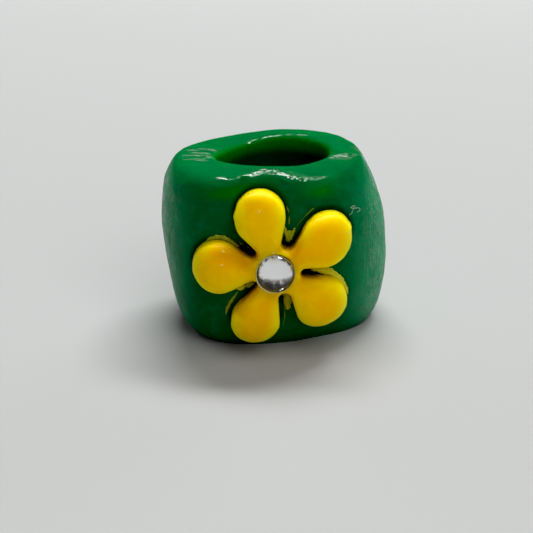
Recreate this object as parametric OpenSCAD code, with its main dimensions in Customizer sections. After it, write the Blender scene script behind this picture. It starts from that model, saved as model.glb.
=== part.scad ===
// Dreadlock bead: a hand-shaped polymer clay barrel with a round hole, a five
// petal clay flower pressed on its front, and a foil-backed half-round gem.
// The hole runs up +Z through the origin at its mid height. The flower faces -Y.

/* [Bead] */
// Width of the bead, side to side
bead_w = 19; // [16:0.1:24]
// Depth of the bead, front to back, without the flower
bead_d = 18; // [16:0.1:24]
// Height of the bead along its hole
bead_h = 14.7; // [12:0.1:20]
// Turn of the rounded square about the hole, in degrees
bead_turn = 6; // [-10:1:15]
// Squareness of the back right corner, 2 for round
back_right_square = 2.9; // [2:0.1:4]
// Squareness of the back left corner
back_left_square = 2.3; // [2:0.1:4]
// Squareness of the front left corner
front_left_square = 3.5; // [2:0.1:4]
// Squareness of the front right corner
front_right_square = 2; // [2:0.1:4]

/* [Hole] */
// Radius of the straight part of the hole
bore_r = 4.3; // [3:0.05:5]
// How much wider than that the hole is at a mouth
mouth_flare = 0.5; // [0.2:0.05:0.8]

/* [Flower] */
// Distance from the flower's middle to the middle of a petal's round end
petal_reach = 4.45; // [4.2:0.05:5]
// Radius of a petal's round end
petal_r = 2; // [1.6:0.05:2.2]
// Width of a petal at its neck
neck_w = 2; // [1.6:0.05:2.4]
// Radius of the notch between two petals
notch_r = 0.42; // [0.3:0.02:0.6]
// Thickness of the flower
flower_t = 1.9; // [1.4:0.05:2.6]
// Rounding of the petals' front edges
shoulder_r = 0.8; // [0.3:0.05:1]
// Width of the thin film squeezed out round the flower's back
film_w = 0.22; // [0.1:0.01:0.4]
// Thickness of that film
film_t = 0.12; // [0.08:0.01:0.3]
// Height of the flower's middle above the bead's middle
flower_rise = 0.15; // [-1:0.05:1]
// Gap between the flower and the bead
seat_gap = 0.1; // [0.05:0.01:0.3]

/* [Gem] */
// Diameter of the half-round gem
gem_d = 3; // [2:0.1:3.4]
// Height of the gem's dome over its straight edge
dome_h = 1.1; // [0.6:0.05:1.4]
// Height of that straight edge
girdle_h = 0.16; // [0.1:0.01:0.3]
// Thickness of the foil behind the gem
foil_t = 0.1; // [0.06:0.01:0.2]
// How deep the gem sits in the flower
gem_sink = 0.35; // [0.2:0.01:0.6]
// Gap round the gem and between what lies face to face
fit_gap = 0.03; // [0.02:0.01:0.08]

/* [Hidden] */
// The outside's reach at each height, as shares of half the width or depth:
// height share, right, back, left, front
GIRTH = [
    [0.00, 0.965, 0.95, 0.83, 0.840],
    [0.15, 0.980, 0.985, 0.90, 0.950],
    [0.40, 1.010, 1.00, 0.98, 1.010],
    [0.65, 0.970, 1.00, 1.01, 1.000],
    [0.85, 0.875, 0.98, 0.99, 0.965],
    [1.00, 0.790, 0.96, 0.95, 0.930],
];
// How far out from mouth to outside the wall stands: height share, wall share
WALL = [
    [0.000, 0.720],
    [0.020, 0.820],
    [0.070, 0.920],
    [0.140, 0.980],
    [0.250, 1.000],
    [0.500, 1.000],
    [0.770, 1.000],
    [0.880, 0.985],
    [0.950, 0.940],
    [0.985, 0.870],
    [1.000, 0.780],
];
// The rolled rim from the wall in to the hole: wall share, height share
RIM = [
    [0.60, 1.003],
    [0.40, 1.000],
    [0.20, 0.985],
    [0.07, 0.950],
    [0.00, 0.880],
];
// The top all round: angle, lift of the top as a share of the height,
// share of the mouth's flare, further lift of the rim
TOP = [
    [0, 0.003, 0.6, 0.00],
    [45, 0.003, 1.0, 0.01],
    [85, 0.000, 1.6, 0.01],
    [135, -0.028, 1.0, -0.01],
    [180, -0.034, 1.5, -0.01],
    [225, -0.020, 1.3, 0.00],
    [270, -0.006, 0.8, 0.00],
    [315, -0.003, 0.5, 0.00],
];
// Thumb dents in the wall: angle, height share, spread in degrees, spread as
// a share of the height, depth as a share of the width
DENTS = [
    [252, 0.87, 16, 0.06, 0.018],
    [288, 0.86, 14, 0.06, 0.014],
    [128, 0.95, 18, 0.08, 0.014],
    [165, 0.96, 24, 0.06, 0.012],
    [304, 0.06, 28, 0.12, 0.050],
];
// The petals: angle, share of the reach, share of the round end's radius,
// turn of the notch that follows, share of that notch's distance
PETALS = [
    [29, 1.02, 1.03, -1, 1.00],
    [106, 0.99, 0.99, 0, 0.99],
    [177, 1.01, 1.00, 3, 1.00],
    [250, 1.04, 0.96, 1, 1.10],
    [320, 1.08, 1.04, 0, 0.98],
];
// Height shares of the rings that make up the wall
WALL_STEPS = [
    0, 0.01, 0.025, 0.05, 0.085, 0.13, 0.19, 0.26, 0.36, 0.46, 0.56, 0.66,
    0.74, 0.80, 0.85, 0.89, 0.92, 0.945, 0.965, 0.98, 0.992, 1,
];
full_turn = 360;
half_turn = full_turn / 2;
ring_n = 72;
bore_n = 96;
gem_n = 48;
dome_steps = 8;
// The loft closes inside the hole, at this share of its radius and height
throat_share = 0.85;
throat_h = 0.70;
base_cut = 0.01 * bead_h;
form_h = bead_h + base_cut;
// How much of the front the flower can be laid on: heights, and share across
seat_low = 0.06;
seat_high = 0.95;
seat_across = 0.85;
halvings = 14;
gem_r = gem_d / 2;
film = min(film_w, 0.8 * notch_r);
shoulder = min(shoulder_r, 0.85 * neck_w / 2, 0.8 * flower_t);
notch_round = 0.45;
petal_n = len(PETALS);
lobe_steps = 12;
notch_steps = 5;
shoulder_steps = 4;
side_n = 2;
strip_n = lobe_steps + 1 + 2 * side_n;
outline_n = petal_n * (strip_n + notch_steps + 1);
middle_n = (strip_n - 3) / 2;
too_big = 4 * max(bead_w, bead_d, bead_h);

// The row of a table at x, on a smooth curve through the table's rows
function at(table, x) =
    let (
        last = len(table) - 1,
        i = max([for (k = [0 : last - 1]) if (k == 0 || table[k][0] <= x) k]),
        a = table[i],
        b = table[i + 1],
        before = table[max(i - 1, 0)],
        after = table[min(i + 2, last)],
        span = b[0] - a[0],
        t = (x - a[0]) / span,
        slope_a = span * (b - before) / (b[0] - before[0]),
        slope_b = span * (after - a) / (after[0] - a[0])
    )
    a + t * slope_a + t * t * (3 * (b - a) - 2 * slope_a - slope_b)
    + t * t * t * (2 * (a - b) + slope_a + slope_b);

// A table by angle, with the rows it needs past a full turn
function add_angle(row, by) = [for (k = [0 : len(row) - 1]) row[k] + (k == 0 ? by : 0)];
function around(table) = concat(
    [add_angle(table[len(table) - 1], -full_turn)],
    table,
    [add_angle(table[0], full_turn), add_angle(table[1], full_turn)]
);
TOP_ROUND = around(TOP);

// The smaller angle between two directions
function apart(a, b) = abs((a - b + 3 * half_turn) % full_turn - half_turn);

function dent(angle, h) = bead_w * add([
    for (d = DENTS) d[4] * exp(-pow(apart(angle, d[0]) / d[2], 2) - pow((h - d[1]) / d[3], 2))
]);
function add(list, i = 0) = i == len(list) ? 0 : list[i] + add(list, i + 1);

// Reach of the outside from the hole's axis: a rounded square whose four
// corners each have their own squareness, less the dents
function reach(angle, h) =
    let (
        girth = at(GIRTH, h),
        across = cos(angle - bead_turn),
        along = sin(angle - bead_turn),
        side = bead_w / 2 * (across > 0 ? girth[1] : girth[3]),
        face = bead_d / 2 * (along > 0 ? girth[2] : girth[4]),
        back = across > 0 ? back_right_square : back_left_square,
        front = across > 0 ? front_right_square : front_left_square,
        n = along > 0 ? back : front
    )
    pow(pow(abs(across) / side, n) + pow(abs(along) / face, n), -1 / n) - dent(angle, h);

// Height of a height share over the bead's middle, and the way back; the form
// is a little taller than the bead, and its underside is cut flat
function level(h) = h * form_h - base_cut - bead_h / 2;
function share_at(z) = (z + bead_h / 2 + base_cut) / form_h;

// Radius of the hole's mouth: plain below, uneven above
function mouth(angle, h) = bore_r + mouth_flare * (h < 0.5 ? 1 : at(TOP_ROUND, angle)[2]);

// Radius of the bead's outside wall
function wall(angle, h) =
    let (in = mouth(angle, h))
    in + at(WALL, h)[1] * (reach(angle, h) - in);

// A point of the bead: wall share, height share, angle
function bead_point(share, h, angle) =
    let (
        in = mouth(angle, h),
        r = in + share * (reach(angle, h) - in),
        top = at(TOP_ROUND, angle),
        lifted = pow(max(2 * h - 1, 0), 2) * (top[1] + pow(1 - share, 2) * top[3])
    )
    [r * cos(angle), r * sin(angle), level(h) + lifted * bead_h];

function throat_ring(h) = [
    for (j = [0 : ring_n - 1])
        let (angle = full_turn * j / ring_n, r = throat_share * bore_r)
        [r * cos(angle), r * sin(angle), level(h)]
];

// The rings from the lower mouth out, up the wall and in to the upper mouth
RINGS = concat(
    [for (k = [len(RIM) - 1 : -1 : 0]) [RIM[k][0], 1 - RIM[k][1]]],
    [for (h = WALL_STEPS) [at(WALL, h)[1], h]],
    RIM
);

module bead_form() {
    rings = concat(
        [throat_ring(1 - throat_h)],
        [for (row = RINGS) [for (j = [0 : ring_n - 1]) bead_point(row[0], row[1], full_turn * j / ring_n)]],
        [throat_ring(throat_h)]
    );
    last = len(rings) - 1;
    points = concat([for (ring = rings) for (p = ring) p], [
        [0, 0, level(1 - throat_h)],
        [0, 0, level(throat_h)]
    ]);
    low_hub = len(points) - 2;
    high_hub = len(points) - 1;
    faces = concat(
        [for (i = [0 : last - 1]) for (j = [0 : ring_n - 1])
            let (k = (j + 1) % ring_n, a = i * ring_n, b = a + ring_n)
            each [[a + j, b + k, a + k], [a + j, b + j, b + k]]],
        [for (j = [0 : ring_n - 1]) [low_hub, j, (j + 1) % ring_n]],
        [for (j = [0 : ring_n - 1]) [high_hub, last * ring_n + (j + 1) % ring_n, last * ring_n + j]]
    );
    polyhedron(points, faces, convexity = 6);
}

module bead() {
    color([0, 0.45, 0.19])
    difference() {
        bead_form();
        cylinder(r = bore_r, h = too_big, center = true, $fn = bore_n);
        translate([0, 0, -(bead_h + too_big) / 2])
            cube(too_big, center = true);
    }
}

// Where the bead's front stands x across and z up, found by halving the angle
function front_angle(x, h, low, high, steps) =
    steps == 0 ? (low + high) / 2 :
    let (middle = (low + high) / 2)
    wall(middle, h) * cos(middle) < x
        ? front_angle(x, h, middle, high, steps - 1)
        : front_angle(x, h, low, middle, steps - 1);
function front_y(x, z) =
    let (
        h = min(max(share_at(z), seat_low), seat_high),
        edge = seat_across * bead_w / 2,
        angle = front_angle(min(max(x, -edge), edge), h, half_turn, full_turn, halvings)
    )
    wall(angle, h) * sin(angle);

function dir(angle) = [cos(angle), sin(angle)];
function toward(from, to) = atan2(to[1] - from[1], to[0] - from[0]);
// How far one direction lies past another, going counterclockwise
function ahead(from, to) = (to - from + 2 * full_turn) % full_turn;

function petal_angle(k) = PETALS[k % petal_n][0] + (k >= petal_n ? full_turn : 0);
function petal_middle(k) = petal_reach * PETALS[k % petal_n][1] * dir(petal_angle(k));
function lobe_r(k) = petal_r * PETALS[k % petal_n][2];
function notch_middle(k) =
    let (half = (petal_angle(k + 1) - petal_angle(k)) / 2)
    (neck_w / 2 + notch_r) / sin(half) * PETALS[k][4] * dir(petal_angle(k) + half + PETALS[k][3]);

// Direction from a petal's middle to where its round end runs straight on
// towards a notch: side is -1 for the notch after it and 1 for the one before
function leave(k, notch, side) =
    let (
        middle = petal_middle(k),
        share = (lobe_r(k) + notch_r) / norm(notch - middle)
    )
    toward(middle, notch) + side * acos(min(share, 1));

// The flower's outline as seen from the front: round end, straight side, notch
// and straight side again. Each point has the direction that it faces and the
// share of the shoulder that rounds it, less in the notches
function between(a, b, share) = a + share * (b - a);
function on_arc(middle, r, angle) = concat(middle + r * dir(angle), [angle, r > 0 ? 1 : notch_round]);
OUTLINE = [
    for (k = [0 : petal_n - 1])
        let (
            before = notch_middle((k + petal_n - 1) % petal_n),
            after = notch_middle(k),
            middle = petal_middle(k),
            start = leave(k, before, 1),
            end = start + ahead(start, leave(k, after, -1)),
            first = on_arc(middle, lobe_r(k), start),
            last = on_arc(middle, lobe_r(k), end),
            follow = end - ahead(leave((k + 1) % petal_n, after, 1), end),
            deep = on_arc(before, -notch_r, start),
            rise = on_arc(after, -notch_r, end)
        )
        each concat(
            [for (i = [1 : side_n]) between(deep, first, i / (side_n + 1))],
            [for (i = [0 : lobe_steps]) on_arc(middle, lobe_r(k), start + (end - start) * i / lobe_steps)],
            [for (i = [1 : side_n]) between(last, rise, i / (side_n + 1))],
            [for (i = [0 : notch_steps]) on_arc(after, -notch_r, end + (follow - end) * i / notch_steps)]
        )
];
// Points down the middle of each petal, from its neck to its round end
function strip_start(k) = k * (strip_n + notch_steps + 1);
MIDDLES = [
    for (k = [0 : petal_n - 1]) for (j = [0 : middle_n - 1])
        (OUTLINE[strip_start(k) + j] + OUTLINE[strip_start(k) + strip_n - 1 - j]) / 2
];
// Where an outline point lies once it is moved in, and where the flower's back
// lies there on the bead: at the outline, at the shoulder's end and between
function moved_in(p, by) = [p[0], p[1]] - by * (by > 0 ? p[3] : 1) * dir(p[2]);
function back_y(q) = front_y(q[0], q[1] + flower_rise) - seat_gap;
OUTLINE_Y = [for (p = OUTLINE) back_y(p)];
INNER_Y = [for (p = OUTLINE) back_y(moved_in(p, shoulder))];
MIDDLES_Y = [for (p = MIDDLES) back_y(p)];
hub_y = back_y([0, 0]);

// The flower's levels: how far in from the outline, and how far off the bead
LEVELS = concat(
    [[-film, 0], [-film, film_t], [0, 1.5 * film_t]],
    [for (i = [0 : shoulder_steps])
        let (a = 90 * i / shoulder_steps)
        [shoulder * (1 - cos(a)), flower_t - shoulder * (1 - sin(a))]]
);

function cap_points(level) = concat(
    [for (i = [0 : len(MIDDLES) - 1]) [MIDDLES[i][0], MIDDLES_Y[i] - level[1], MIDDLES[i][1] + flower_rise]],
    [[0, hub_y - level[1], flower_rise]]
);
// Triangles across one face of the flower: ring is its outline's first point,
// middles the first point of its middles, and the hub comes after those
function cap_faces(ring, middles) = let (hub = middles + len(MIDDLES)) [
    for (k = [0 : petal_n - 1])
        let (
            a = ring + strip_start(k),
            m = middles + k * middle_n,
            next_a = ring + strip_start((k + 1) % petal_n),
            top = a + middle_n
        )
        each concat(
            [for (j = [0 : middle_n - 2]) each [
                [a + j, a + j + 1, m + j + 1], [a + j, m + j + 1, m + j],
                [m + j, m + j + 1, a + strip_n - 2 - j], [m + j, a + strip_n - 2 - j, a + strip_n - 1 - j]
            ]],
            [for (j = [-1 : 2]) [m + middle_n - 1, top + j, top + j + 1]],
            [[hub, a, m], [hub, m, a + strip_n - 1]],
            [for (j = [0 : notch_steps]) [hub, a + strip_n - 1 + j, a + strip_n + j]],
            [[hub, a + strip_n + notch_steps, next_a]]
        )
];
function flipped(faces) = [for (f = faces) [f[0], f[2], f[1]]];

module flower_form() {
    last = len(LEVELS) - 1;
    rings = [
        for (level = LEVELS) for (i = [0 : outline_n - 1])
            let (
                q = moved_in(OUTLINE[i], level[0]),
                y = OUTLINE_Y[i] + (INNER_Y[i] - OUTLINE_Y[i]) * level[0] / shoulder
            )
            [q[0], y - level[1], q[1] + flower_rise]
    ];
    points = concat(rings, cap_points(LEVELS[0]), cap_points(LEVELS[last]));
    low_middles = len(rings);
    high_middles = low_middles + len(MIDDLES) + 1;
    faces = concat(
        [for (i = [0 : last - 1]) for (j = [0 : outline_n - 1])
            let (k = (j + 1) % outline_n, a = i * outline_n, b = a + outline_n)
            each [[a + j, b + k, a + k], [a + j, b + j, b + k]]],
        cap_faces(0, low_middles),
        flipped(cap_faces(last * outline_n, high_middles))
    );
    polyhedron(points, faces, convexity = 8);
}

// Moves what stands on z = 0 to the seat sunk in the flower's front
seat_y = hub_y - flower_t + gem_sink;
module on_seat(off = 0) {
    translate([0, seat_y - off, flower_rise])
        rotate([90, 0, 0])
            children();
}

module flower() {
    color([0.98, 0.76, 0])
    difference() {
        flower_form();
        on_seat()
            cylinder(r = gem_r + fit_gap, h = too_big, $fn = gem_n);
    }
}

module foil() {
    color([0.8, 0.8, 0.82])
    on_seat(fit_gap)
        cylinder(r = gem_r, h = foil_t, $fn = gem_n);
}

// The gem's dome is part of a ball that just reaches its straight edge
ball_r = (gem_r * gem_r + dome_h * dome_h) / (2 * dome_h);
dome_turn = asin(min(gem_r / ball_r, 1));
module gem() {
    color([0.92, 0.95, 0.97, 0.5])
    on_seat(2 * fit_gap + foil_t)
        rotate_extrude($fn = gem_n)
            polygon(concat(
                [[0, 0], [gem_r, 0]],
                [for (i = [dome_steps : -1 : 0])
                    let (a = dome_turn * i / dome_steps)
                    [ball_r * sin(a), girdle_h + dome_h - ball_r * (1 - cos(a))]]
            ));
}

bead();
flower();
gem();
foil();
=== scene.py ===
"""The looks of a green clay dreadlock bead with a yellow clay flower and a clear gem.

Sizes are in millimetres until a mesh is made. The hole runs up +Z, the flower faces -Y.
"""

import bmesh
import bpy
import numpy as np
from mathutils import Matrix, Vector


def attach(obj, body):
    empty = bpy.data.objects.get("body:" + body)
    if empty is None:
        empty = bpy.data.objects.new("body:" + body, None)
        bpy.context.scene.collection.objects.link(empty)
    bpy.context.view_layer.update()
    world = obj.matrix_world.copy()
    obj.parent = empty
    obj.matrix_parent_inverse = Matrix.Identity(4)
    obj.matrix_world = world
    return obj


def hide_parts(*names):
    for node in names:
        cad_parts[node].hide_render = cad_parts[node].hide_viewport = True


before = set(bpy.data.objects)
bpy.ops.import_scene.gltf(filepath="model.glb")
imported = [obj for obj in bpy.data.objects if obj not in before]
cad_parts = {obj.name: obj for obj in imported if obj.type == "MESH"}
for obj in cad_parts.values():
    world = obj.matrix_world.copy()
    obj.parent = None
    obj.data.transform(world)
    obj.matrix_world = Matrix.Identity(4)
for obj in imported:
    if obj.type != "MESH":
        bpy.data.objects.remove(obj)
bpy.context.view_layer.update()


# The camera. The photograph looks at the flower's side from a little above,
# from about ten centimetres away, and aims a bit left of the bead's middle.
MM = 0.001
LENS = 78.35
AWAY = 100
NEAREST = 5
ELEVATION = np.radians(19)
AIM = np.array([-0.7, -0.931, -2.704])
eye = AIM + AWAY * np.array([0, -np.cos(ELEVATION), np.sin(ELEVATION)])
camera = bpy.data.objects.new("camera", bpy.data.cameras.new("camera"))
camera.data.lens = LENS
camera.data.clip_start = NEAREST * MM
camera.location = Vector(eye * MM)
camera.rotation_euler = Vector(AIM - eye).to_track_quat("-Z", "Y").to_euler()
bpy.context.scene.collection.objects.link(camera)
bpy.context.scene.camera = camera


# The bead. One lump of green polymer clay, pushed into a rounded square barrel
# round a straight rod, its rims rolled over by thumb and its sides rubbed
# smooth. It is baked hard, with a satin gloss, and it carries all the rest.
BEAD_W, BEAD_D, BEAD_H = 19, 18, 14.7
BEAD_TURN = 6
BORE_R, FLARE = 4.3, 0.5
BASE_CUT = 0.01 * BEAD_H
FORM_H = BEAD_H + BASE_CUT
BACK_RIGHT, BACK_LEFT, FRONT_LEFT, FRONT_RIGHT = 2.9, 2.3, 3.5, 2.0
# The outside's reach: height share, right, back, left, front
GIRTH = np.array([
    [0.00, 0.965, 0.95, 0.83, 0.840],
    [0.15, 0.980, 0.985, 0.90, 0.950],
    [0.40, 1.010, 1.00, 0.98, 1.010],
    [0.65, 0.970, 1.00, 1.01, 1.000],
    [0.85, 0.875, 0.98, 0.99, 0.965],
    [1.00, 0.790, 0.96, 0.95, 0.930],
])
# How far out from mouth to outside the wall stands: height share, wall share
WALL = np.array([
    [0.000, 0.720], [0.020, 0.820], [0.070, 0.920], [0.140, 0.980],
    [0.250, 1.000], [0.500, 1.000], [0.770, 1.000], [0.880, 0.985],
    [0.950, 0.940], [0.985, 0.870], [1.000, 0.780],
])
# The rolled rim, from the wall in and down the hole: wall share, height share.
# A share of -1 is the straight bore.
RIM = [
    [0.60, 1.003], [0.40, 1.003], [0.20, 1.000], [0.09, 0.993], [0.03, 0.980],
    [-0.02, 0.958], [-0.16, 0.910], [-0.45, 0.855], [-0.75, 0.800], [-0.93, 0.750],
    [-1, 0.700],
]
# The top: angle, lift as a share of the height, share of flare, lift of the rim
TOP = np.array([
    [-45, -0.003, 0.5, 0.00], [0, 0.003, 0.6, 0.00], [45, 0.003, 1.0, 0.01],
    [85, 0.000, 1.6, 0.01], [135, -0.028, 1.0, 0.00], [180, -0.034, 1.3, 0.01],
    [225, -0.020, 1.0, 0.015], [270, -0.006, 0.8, 0.00], [315, -0.003, 0.5, 0.00],
    [360, 0.003, 0.6, 0.00], [405, 0.003, 1.0, 0.01],
])
# How far the top sags at its outer edge: angle, drop in millimetres
SAG = np.array([
    [0, 0], [200, 0], [222, 0.12], [243, 0.40], [256, 0.15], [267, 0], [278, 0.35],
    [290, 0.95], [303, 1.05], [315, 0.95], [328, 0.50], [345, 0.10], [360, 0],
])
# The sag grows with a power of the wall share, over a range of height shares
SAG_POWER, SAG_RISE = 1.3, (0.6, 0.98)
# Thumb dents: angle, height share, spread in degrees, spread in height, and depth
# as a share of the width
DENTS = [
    [252, 0.87, 16, 0.06, 0.018],
    [288, 0.86, 14, 0.06, 0.014],
    [128, 0.95, 18, 0.08, 0.014],
    [165, 0.96, 24, 0.06, 0.012],
    [304, 0.06, 28, 0.12, 0.050],
]


def at(table, x):
    """The table's row at x: a cubic between the two rows about x, whose slopes
    come from the rows on either side of them."""
    table, x = np.asarray(table, float), np.asarray(x, float)
    last = len(table) - 1
    i = np.clip(np.searchsorted(table[:, 0], x, side="right") - 1, 0, last - 1)
    a, b = table[i], table[i + 1]
    before, after = table[np.maximum(i - 1, 0)], table[np.minimum(i + 2, last)]
    span = (b[..., 0] - a[..., 0])[..., None]
    t = (x[..., None] - a[..., :1]) / span
    slope_a = span * (b - before) / (b[..., :1] - before[..., :1])
    slope_b = span * (after - a) / (after[..., :1] - a[..., :1])
    rise = t * t * (3 * (b - a) - 2 * slope_a - slope_b)
    return a + t * slope_a + rise + t ** 3 * (2 * (a - b) + slope_a + slope_b)


def along(points, n):
    """n points evenly spread on a smooth curve through points, by chord length."""
    points = np.asarray(points, float)
    chords = np.linalg.norm(np.diff(points, axis=0), axis=1)
    run = np.concatenate([[0], np.cumsum(chords)])
    return at(np.column_stack([run, points]), np.linspace(0, run[-1], n))[:, 1:]


def reach(angle, h):
    """Reach of the outside from the axis: a superellipse whose exponent differs
    from corner to corner, less a bell-shaped hollow for each thumb dent."""
    angle, h = np.broadcast_arrays(np.asarray(angle, float), np.asarray(h, float))
    girth = at(GIRTH, h)
    across = np.cos(np.radians(angle - BEAD_TURN))
    deep = np.sin(np.radians(angle - BEAD_TURN))
    side = BEAD_W / 2 * np.where(across > 0, girth[..., 1], girth[..., 3])
    face = BEAD_D / 2 * np.where(deep > 0, girth[..., 2], girth[..., 4])
    back = np.where(across > 0, BACK_RIGHT, BACK_LEFT)
    front = np.where(across > 0, FRONT_RIGHT, FRONT_LEFT)
    n = np.where(deep > 0, back, front)
    out = ((np.abs(across) / side) ** n + (np.abs(deep) / face) ** n) ** (-1 / n)
    for at_angle, at_h, spread, spread_h, depth in DENTS:
        turn = (angle - at_angle + 180) % 360 - 180
        hollow = np.exp(-(turn / spread) ** 2 - ((h - at_h) / spread_h) ** 2)
        out = out - depth * BEAD_W * hollow
    return out


def fade(x, low, high):
    """0 below low and 1 above high, with an S-shaped curve between them."""
    t = np.clip((x - low) / (high - low), 0, 1)
    return t * t * (3 - 2 * t)


def bell(x, middle, spread):
    """1 at the middle, and 1/e at one spread to either side of it."""
    return np.exp(-((x - middle) / spread) ** 2)


def mouth(angle, h):
    """Radius of the hole's lip: the bore plus a flare, uneven at the top."""
    return BORE_R + FLARE * np.where(h < 0.5, 1, at(TOP, angle % 360)[..., 2])


def wall_r(angle, h):
    """Radius of the outside wall at an angle and a height share."""
    lip = mouth(angle, h)
    return lip + at(WALL, h)[..., 1] * (reach(angle, h) - lip)


def bead_point(share, h, angle):
    """A point of the bead. The share runs from the lip, 0, out to the reach, 1,
    or in to the bore, -1. The top is lifted, most at its rim."""
    lip = mouth(angle, h)
    spread = np.where(share < 0, lip - BORE_R, reach(angle, h) - lip)
    r = lip + share * spread
    top = at(TOP, angle % 360)
    near_rim = (1 - np.clip(share, 0, 1)) ** 2
    lifted = np.clip(2 * h - 1, 0, 1) ** 2 * (top[..., 1] + near_rim * top[..., 3])
    z = h * FORM_H - BASE_CUT - BEAD_H / 2 + lifted * BEAD_H
    sag = at(SAG, angle % 360)[..., 1] * np.clip(share, 0, 1) ** SAG_POWER
    z = z - sag * fade(h, *SAG_RISE)
    turn = np.radians(angle)
    return np.stack([r * np.cos(turn), r * np.sin(turn), np.maximum(z, -BEAD_H / 2)], -1)


# Where the flower may lie: least and most height share, share of the half width
SEAT_LOW, SEAT_HIGH, SEAT_ACROSS = 0.06, 0.95, 0.85
HALVINGS = 20


def front_y(x, z):
    """Where the bead's front stands at x across and z up: the angle whose wall
    lies at x is found by halving."""
    x, z = np.broadcast_arrays(np.asarray(x, float), np.asarray(z, float))
    h = np.clip((z + BEAD_H / 2 + BASE_CUT) / FORM_H, SEAT_LOW, SEAT_HIGH)
    edge = SEAT_ACROSS * BEAD_W / 2
    x = np.clip(x, -edge, edge)
    low, high = np.full(x.shape, 180.0), np.full(x.shape, 360.0)
    for _ in range(HALVINGS):
        middle = (low + high) / 2
        less = wall_r(middle, h) * np.cos(np.radians(middle)) < x
        low, high = np.where(less, middle, low), np.where(less, high, middle)
    return wall_r(middle, h) * np.sin(np.radians(middle))


def waves(points, length, seed):
    """Soft lumps about one length across: a sum of sine waves in random
    directions, scaled to run from about -1 to 1."""
    random = np.random.default_rng(seed)
    count = 10
    ways = random.normal(size=(count, 3))
    ways /= np.linalg.norm(ways, axis=1, keepdims=True)
    ways *= 2 * np.pi / length * random.uniform(0.7, 1.4, (count, 1))
    phases = random.uniform(0, 2 * np.pi, count)
    return np.sin(points @ ways.T + phases).sum(-1) / np.sqrt(2 * count)


def crease(points, start, end, width, height):
    """A ridge along the line from start to end: a bell of the distance to it."""
    start, end = np.array(start, float), np.array(end, float)
    way = end - start
    t = np.clip((points - start) @ way / (way @ way), 0, 1)
    gap = np.linalg.norm(points - start - t[..., None] * way, axis=-1)
    return height * bell(gap, 0, width)


def normals(points):
    """Outward normals of a grid that is closed both ways: the cross product of
    the steps around and the steps along."""
    around = np.roll(points, -1, 1) - np.roll(points, 1, 1)
    up = np.roll(points, -1, 0) - np.roll(points, 1, 0)
    out = np.cross(around, up)
    return out / np.maximum(np.linalg.norm(out, axis=-1, keepdims=True), 1e-9)


def surface(name, grids, tags=None, looped=False):
    """A mesh from grids of points in millimetres, each closed across its columns.
    Its rows end in poles or seams, or join up where the grid is looped. Tags are
    named numbers, one for each point, which a finish reads."""
    same_place = 1e-7
    points, faces, first = [], [], 0
    for grid in grids:
        rows, cols = grid.shape[:2]
        index = first + np.arange(rows * cols).reshape(rows, cols)
        if looped:
            index = np.vstack([index, index[:1]])
        a, b = index[:-1], np.roll(index, -1, 1)[:-1]
        c, d = np.roll(index, -1, 1)[1:], index[1:]
        faces.append(np.stack([a, b, c, d], -1).reshape(-1, 4))
        points.append(grid.reshape(-1, 3))
        first += rows * cols
    mesh = bpy.data.meshes.new(name)
    mesh.from_pydata((np.vstack(points) * MM).tolist(), [], np.vstack(faces).tolist())
    for tag, values in (tags or {}).items():
        layer = mesh.attributes.new(tag, "FLOAT", "POINT")
        flat = np.concatenate([np.ravel(v) for v in values])
        layer.data.foreach_set("value", flat.astype(np.float32))
    if not looped:
        whole = bmesh.new()
        whole.from_mesh(mesh)
        bmesh.ops.remove_doubles(whole, verts=whole.verts, dist=same_place)
        whole.to_mesh(mesh)
        whole.free()
    mesh.shade_smooth()
    piece = bpy.data.objects.new(name, mesh)
    bpy.context.scene.collection.objects.link(piece)
    return piece


TURNS = 448
LENGTHWAYS = 220
# Once round a cut through one side: wall share, height share
section = np.array(
    [[-1, 0.5]] + [[w, 1 - h] for w, h in RIM[::-1]]
    + WALL[:, ::-1].tolist() + RIM + [[-1, 0.5]]
)
# The unseen bore gets a third of the rows that its length would give it
WALL_THICK, BORE_ROWS = 4.5, 1 / 3
steps = np.linalg.norm(np.diff(section, axis=0) * [WALL_THICK, BEAD_H], axis=1)
steps[[0, -1]] *= BORE_ROWS
run = np.concatenate([[0], np.cumsum(steps)])
rows = at(np.column_stack([run, section]), np.linspace(0, run[-1], LENGTHWAYS, endpoint=False))
angles = np.arange(TURNS) * 360 / TURNS
share, h = rows[:, 1, None], np.clip(rows[:, 2, None], -0.01, 1.01)
bead_grid = bead_point(share, h, angles[None])

# Soft lumps all over: height, length, seed
LUMPS = [[0.045, 6, 1], [0.018, 2.4, 2]]
# The finest, taller on the flanks: height, more height there, length, seed, and how
# far to the side the flanks begin and are full
FINE_LUMPS, FLANKS = [0.004, 0.012, 0.9, 3], (6, 9)
# Fine wrinkles on the left of the top: start, end, width, height
WRINKLES = [
    [(-6.45, 2.0, 6.97), (-5.1, 1.75, 6.9), 0.16, 0.085],
    [(-7.5, 1.7, 6.9), (-6.7, 1.5, 6.96), 0.16, 0.07],
    [(-7.7, -0.1, 6.8), (-6.3, -0.35, 6.95), 0.15, 0.07],
    [(-6.0, -0.4, 6.96), (-5.2, -0.7, 6.9), 0.15, 0.085],
    [(-7.9, -1.6, 6.8), (-5.9, -2.0, 7.0), 0.15, 0.07],
    [(-5.7, -1.4, 6.97), (-5.1, -1.4, 6.9), 0.16, 0.085],
    [(-6.4, -2.3, 7.0), (-5.5, -2.6, 7.0), 0.14, 0.06],
    [(-6.9, 0.7, 6.96), (-5.6, 0.5, 6.96), 0.15, 0.06],
]
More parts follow.
